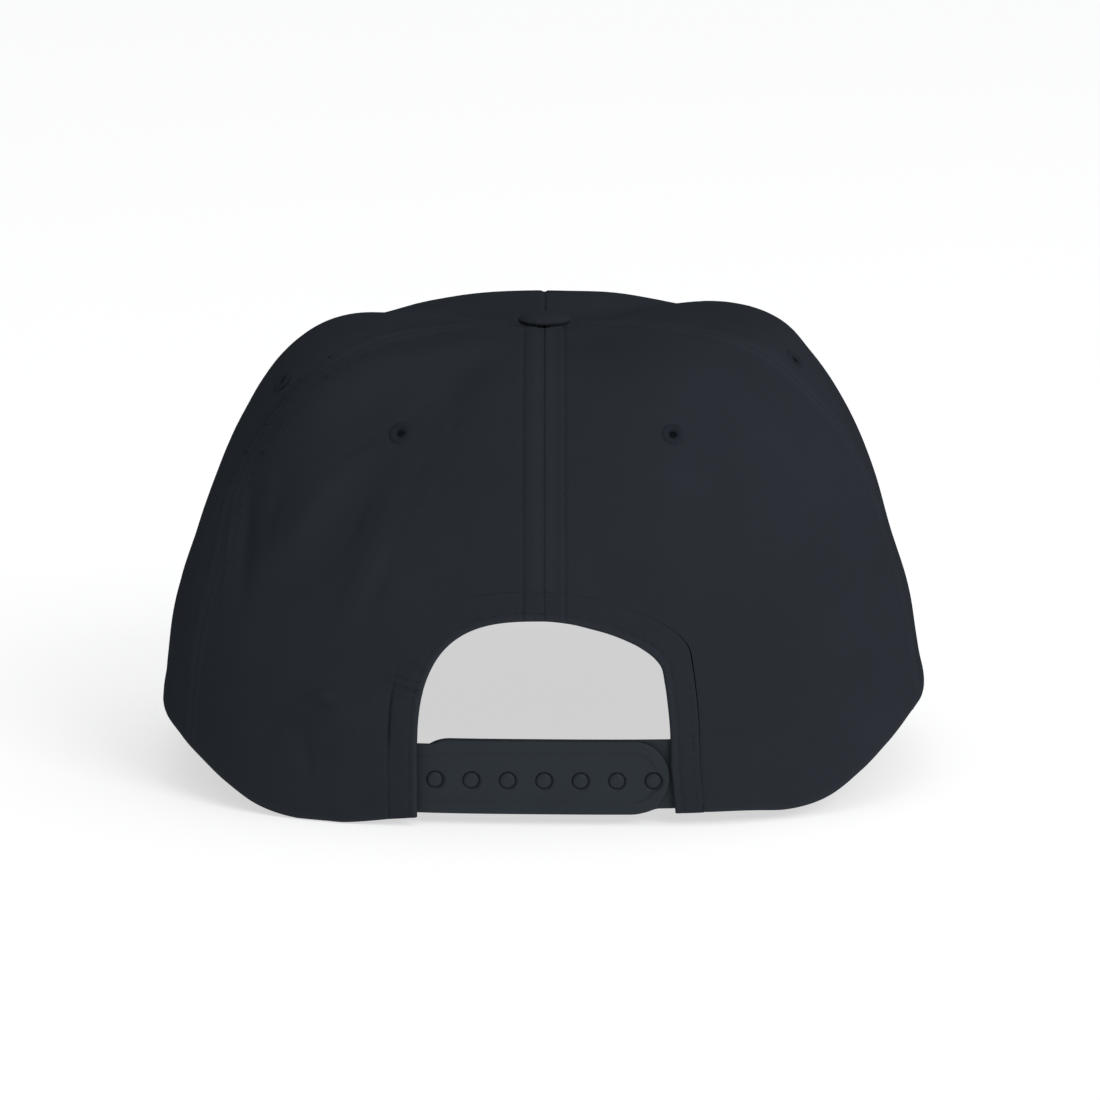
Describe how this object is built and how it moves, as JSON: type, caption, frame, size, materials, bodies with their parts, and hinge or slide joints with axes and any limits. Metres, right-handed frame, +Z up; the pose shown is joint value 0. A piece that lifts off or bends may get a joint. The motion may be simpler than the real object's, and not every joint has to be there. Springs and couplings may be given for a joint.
{
  "type": "surf cap",
  "caption": "Soft dark cloth cap of stitched panels with a curved peak, a covered top button and a back opening closed by a plastic snap strap.",
  "frame": {"origin": "on the floor under the middle of the whole cap's box, with the cap resting on the back of its rim and on the sides of its peak", "axes": "+Y forwards over the peak, +X to the wearer's right, +Z up through the button"},
  "size_m": [0.1954, 0.2303, 0.1144],
  "materials": {
    "cap_cloth": "matte woven polyamide with a faint sheen",
    "sweatband_cloth": "matte knitted band",
    "stitching": "satin sewing thread",
    "strap_plastic": "satin moulded"
  },
  "bodies": {
    "root": {"front_panel": "cap_cloth", "side_panel_left": "cap_cloth", "side_panel_right": "cap_cloth", "back_panel_left": "cap_cloth", "back_panel_right": "cap_cloth", "opening_hem": "cap_cloth", "strap_outer": "strap_plastic", "strap_inner": "strap_plastic", "sweatband": "sweatband_cloth", "peak": "cap_cloth", "button": "cap_cloth", "eyelet_back_left": "stitching", "eyelet_back_right": "stitching", "eyelet_side_left": "stitching", "eyelet_side_right": "stitching"}
  },
  "joints": []
}
